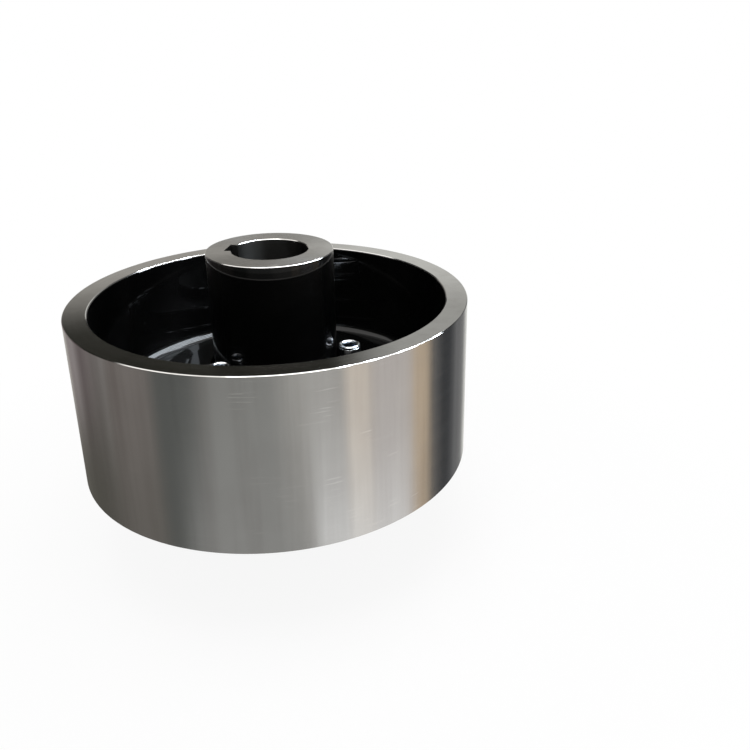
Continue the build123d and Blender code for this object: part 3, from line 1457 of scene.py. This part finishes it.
@dataclass(frozen=True)
class Studio:
    """The camera, the lamp, the pale floor, and the cards and strips that metal and gloss mirror.

    Lengths are in metres, apart from floor_reach and ring_profile, which are in millimetres. A
    slope is the height above slopes_from over the distance from the axis. The pairs floor_fade,
    band_slopes and band_side are where a smooth step starts and ends.
    """

    camera_bearing: float = -74.8
    camera_distance: float = 0.62314
    camera_height: float = 0.4269
    camera_down: float = 20.839
    camera_yaw: float = -11.449
    camera_roll: float = 0.487
    camera_lens: float = 38.334
    camera_shift: tuple[float, float] = (-0.06709, -0.07593)
    camera_sensor: float = 36.0
    ambient: float = 0.55
    floor_reach: float = 12000.0
    floor_colour: Colour = (0.9, 0.9, 0.9)
    floor_glow: float = 0.91
    floor_fade: tuple[float, float] = (0.2, 0.5)
    lamp_distance: float = 0.25
    lamp_height: float = 1.7
    lamp_side: float = 1.1
    lamp_power: float = 14.0
    lamp_aim: float = 0.12
    tube_strength: float = 44.0
    tube_colour: Colour = (0.84, 0.92, 1.0)
    tube_height: float = 1.3
    tube_ends: tuple[float, float] = (-1.2, 0.7)
    tube_sides: tuple[tuple[float, float], ...] = (
        (0.55, 0.62),
        (0.82, 0.94),
        (1.22, 1.42),
        (1.85, 2.2),
    )
    ring_profile: tuple[tuple[float, float], ...] = (
        (20.0, -3000.0),
        (3000.0, -3000.0),
        (3000.0, 3500.0),
        (1500.0, 4600.0),
        (20.0, 4800.0),
    )
    ring_step: float = 4.0
    slopes_from: float = 0.2
    base_tone: Colour = (0.24, 0.235, 0.225)
    band_tone: Colour = (0.03, 0.03, 0.024)
    band_slopes: tuple[float, float] = (0.29, 0.375)
    band_side: tuple[float, float] = (0.08, 0.21)
    band_loss: float = 0.6
    ceiling_tone: Colour = (2.4, 2.36, 2.3)
    ceiling_least: float = 0.7
    ceiling_middle: float = 0.6
    ceiling_lift: float = 0.7
    ceiling_edge: float = 0.08
    cards: tuple[Card, ...] = (
        Card(-130.0, 12.0, 30.0, (0.3, 0.265, 0.262)),
        Card(-136.0, 2.0, 6.0, (0.4, 0.36, 0.36)),
        Card(-124.0, 1.5, 5.0, (0.2, 0.165, 0.17)),
        Card(-85.0, 12.0, 26.0, (0.33, 0.3, 0.285)),
        Card(-103.0, 0.8, 2.4, (0.44, 0.42, 0.41)),
        Card(-94.0, 1.0, 3.0, (0.27, 0.235, 0.225)),
        Card(-88.0, 20.0, 34.0, (0.235, 0.222, 0.203), -0.64, -0.45),
        Card(-56.0, 9.0, 16.0, (0.17, 0.178, 0.172)),
        Card(-15.0, 16.0, 32.0, (0.42, 0.425, 0.41)),
        Card(20.0, 8.0, 26.0, (0.68, 0.67, 0.64)),
        Card(43.0, 6.0, 9.0, (1.1, 0.98, 0.84)),
        Card(65.5, 13.5, 15.5, (0.84, 0.78, 0.74)),
        Card(87.0, 6.5, 8.5, (0.9, 0.72, 0.52)),
        Card(115.0, 19.5, 22.0, (0.14, 0.142, 0.147)),
        Card(112.0, 4.0, 10.0, (0.045, 0.047, 0.051)),
        Card(127.0, 1.0, 3.5, (0.26, 0.26, 0.265)),
        Card(140.0, 4.0, 12.0, (0.24, 0.24, 0.24)),
        Card(168.0, 16.0, 28.0, (0.92, 0.92, 0.88)),
        Card(-166.0, 12.0, 22.0, (0.6, 0.58, 0.54)),
        Card(-142.0, 18.0, 52.0, (0.13, 0.127, 0.108), -0.58, -0.4),
        Card(48.0, 24.0, 40.0, (1.42, 1.44, 1.45), -0.74, -0.54),
        Card(-20.0, 24.0, 44.0, (0.52, 0.525, 0.515), -0.72, -0.5),
    )

    def build(self) -> None:
        """Sets up the whole studio."""
        self.camera()
        self.world()
        self.floor()
        self.mirror_cards()
        self.lamp()
        self.tubes()

    def camera(self) -> None:
        """The camera at the photograph's place, turned by yaw about Z, pitch about X and roll."""
        data = bpy.data.cameras.new("camera")
        data.sensor_width = self.camera_sensor
        data.lens = self.camera_lens
        data.shift_x, data.shift_y = self.camera_shift
        data.clip_start, data.clip_end = 0.01, 60.0
        camera = bpy.data.objects.new("camera", data)
        bearing = math.radians(self.camera_bearing)
        x, y = self.camera_distance * math.cos(bearing), self.camera_distance * math.sin(bearing)
        place = Vector((x, y, self.camera_height))
        ahead = bearing + math.pi / 2 + math.radians(self.camera_yaw)
        turn = Matrix.Rotation(ahead, 4, "Z")
        turn @= Matrix.Rotation(math.radians(90.0 - self.camera_down), 4, "X")
        turn @= Matrix.Rotation(math.radians(self.camera_roll), 4, "Z")
        camera.matrix_world = Matrix.Translation(place) @ turn
        bpy.context.scene.collection.objects.link(camera)
        bpy.context.scene.camera = camera

    def world(self) -> None:
        """White for camera, mirrored and transmitted rays, and a softer even light for others.

        The ring of cards stands before it for the mirrored rays, so metal doesn't show its white.
        """
        world = bpy.data.worlds.new("studio")
        world.use_nodes = True
        tree = world.node_tree
        path = tree.nodes.new("ShaderNodeLightPath")
        seen = path.outputs["Is Camera Ray"]
        for name in ("Is Glossy Ray", "Is Transmission Ray"):
            either = tree.nodes.new("ShaderNodeMath")
            either.operation = "MAXIMUM"
            tree.links.new(seen, either.inputs[0])
            tree.links.new(path.outputs[name], either.inputs[1])
            seen = either.outputs[0]
        strength = tree.nodes.new("ShaderNodeMapRange")
        strength.inputs["To Min"].default_value = self.ambient
        tree.links.new(seen, strength.inputs["Value"])
        background = tree.nodes["Background"]
        background.inputs["Color"].default_value = (1.0, 1.0, 1.0, 1.0)
        tree.links.new(strength.outputs[0], background.inputs["Strength"])
        bpy.context.scene.world = world
        bpy.context.scene.view_settings.view_transform = "Standard"

    def floor(self) -> None:
        """A pale floor that the camera sees nearly white, with the coupling's soft shadow."""
        square = np.array(((-1, -1, 0), (1, -1, 0), (1, 1, 0), (-1, 1, 0))) * self.floor_reach
        mesh = bpy.data.meshes.new("studio_floor")
        mesh.from_pydata((square * MM).tolist(), [], [(0, 1, 2, 3)])
        floor = bpy.data.objects.new("studio_floor", mesh)
        bpy.context.scene.collection.objects.link(floor)
        shading = Shading("floor_paint")
        matt = shading.node("ShaderNodeBsdfDiffuse", {}, {"Color": self.floor_colour})
        white = {"Color": (1.0, 1.0, 1.0), "Strength": 1.0}
        glow = shading.node("ShaderNodeEmission", {}, white)
        seen = shading.node("ShaderNodeLightPath", {}, {}, "Is Camera Ray")
        away = shading.place().radius.rise(*self.floor_fade)
        share = self.floor_glow + away * (1 - self.floor_glow)
        both = shading.node("ShaderNodeMixShader", {}, {0: seen * share, 1: matt, 2: glow})
        mesh.materials.append(shading.output(both))
        floor.visible_glossy = False

    def mirror_cards(self) -> None:
        """A wide ring of cards that only mirrored rays see.

        It casts no shadow and lights nothing matt, but bare metal gets nearly all its brightness
        from it and the strips, and the paint's gloss mirrors them too.

        The ring is a profile carried round the axis, and all but closed at both ends. Low down its
        tone is the base tone with each card laid over it, full where the cosine of the angle to
        the card's bearing is above the core's and gone below the reach's. Higher up comes a dark
        band, which is weaker on the camera's right, and above that the ceiling. It starts at the
        larger of its least slope, and its middle slope less its lift times the cosine of the
        angle to the camera's bearing, which is higher up behind the coupling.
        """
        profile = np.array(self.ring_profile)
        bearing = np.radians(np.arange(0.0, 360.0, self.ring_step))
        radii, heights = (profile[:, i : i + 1].repeat(bearing.size, axis=1) for i in (0, 1))
        points = np.stack((radii * np.cos(bearing), radii * np.sin(bearing), heights), axis=-1)
        faces = grid_faces(len(profile), bearing.size, rows_close=False)
        mesh = bpy.data.meshes.new("studio_cards")
        mesh.from_pydata((points.reshape(-1, 3) * MM).tolist(), [], faces.tolist())
        ring = bpy.data.objects.new("studio_cards", mesh)
        bpy.context.scene.collection.objects.link(ring)
        shading = Shading("card_tones")
        place = shading.place()
        slope = (place.height - self.slopes_from) / place.radius
        tone: Tone = self.base_tone
        for card in self.cards:
            facing = place.towards(self.camera_bearing + card.bearing)
            core, reach = (math.cos(math.radians(a)) for a in (card.core, card.reach))
            share = facing.rise(reach, core)
            if card.full_below < 0.0:
                share = share * slope.rise(card.ends_above, card.full_below)
            tone = shading.mix(tone, card.colour, share)
        aside = place.towards(self.camera_bearing + 90.0).rise(*self.band_side)
        band = slope.rise(*self.band_slopes) * (1 - aside * self.band_loss)
        tone = shading.mix(tone, self.band_tone, band)
        start = self.ceiling_middle - place.towards(self.camera_bearing) * self.ceiling_lift
        above = slope - start.larger(self.ceiling_least)
        ceiling = above.rise(-self.ceiling_edge, self.ceiling_edge)
        tone = shading.mix(tone, self.ceiling_tone, ceiling)
        glow = {"Color": tone, "Strength": 1.0}
        mesh.materials.append(shading.output(shading.node("ShaderNodeEmission", {}, glow)))
        self.only_mirrored(ring)

    def tubes(self) -> None:
        """Bright strips high on the camera's right, which only mirrored rays see.

        A strip's sides are distances to the right of the axis, and its ends distances behind the
        axis, both as the camera sees them.
        """
        near, far = self.tube_ends
        right = np.array(self.tube_sides)[:, (0, 1, 1, 0)]
        ahead = np.broadcast_to(np.array((near, near, far, far)), right.shape)
        points = np.stack((ahead, -right, np.full(right.shape, self.tube_height)), axis=-1)
        faces = np.arange(right.size).reshape(-1, 4)
        mesh = bpy.data.meshes.new("studio_tubes")
        mesh.from_pydata(points.reshape(-1, 3).tolist(), [], faces.tolist())
        mesh.transform(Matrix.Rotation(math.radians(self.camera_bearing + 180.0), 4, "Z"))
        tubes = bpy.data.objects.new("studio_tubes", mesh)
        bpy.context.scene.collection.objects.link(tubes)
        shading = Shading("tube_glow")
        glow = {"Color": self.tube_colour, "Strength": self.tube_strength}
        mesh.materials.append(shading.output(shading.node("ShaderNodeEmission", {}, glow)))
        self.only_mirrored(tubes)

    def only_mirrored(self, thing: bpy.types.Object) -> None:
        """Hides a thing of the studio from every ray but the mirrored ones.

        Args:
            thing: the ring of cards or the strips.
        """
        for ray in ("camera", "diffuse", "transmission", "volume_scatter", "shadow"):
            setattr(thing, f"visible_{ray}", False)

    def lamp(self) -> None:
        """A soft square lamp above the coupling, a little towards the camera, that looks at it."""
        data = bpy.data.lights.new("overhead", "AREA")
        data.shape = "RECTANGLE"
        data.size = data.size_y = self.lamp_side
        data.energy = self.lamp_power
        lamp = bpy.data.objects.new("overhead", data)
        turn = math.radians(self.camera_bearing)
        x, y = self.lamp_distance * math.cos(turn), self.lamp_distance * math.sin(turn)
        place = Vector((x, y, self.lamp_height))
        aim = Vector((0.0, 0.0, self.lamp_aim)) - place
        facing = aim.to_track_quat("-Z", "Y").to_matrix().to_4x4()
        lamp.matrix_world = Matrix.Translation(place) @ facing
        bpy.context.scene.collection.objects.link(lamp)


def main() -> None:
    """Builds the coupling on its frame, and the studio around it."""
    logging.basicConfig(level=logging.INFO, format="%(name)s: %(message)s")
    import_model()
    sizes = Sizes()
    Studio().build()
    Castings(sizes).build()
    NylonPins(sizes).build()
    zinc = plain_finish("zinc_finish", ZincPlate(), Gloss(anisotropy=0.2))
    paint_gloss = Gloss(coat_roughness=0.02, specular=0.03)
    paint = plain_finish("plate_finish", GlossBlackPaint(), paint_gloss)
    for half in Half:
        Retainers(sizes, half, zinc, paint).build()


if __name__ == "__main__":
    main()
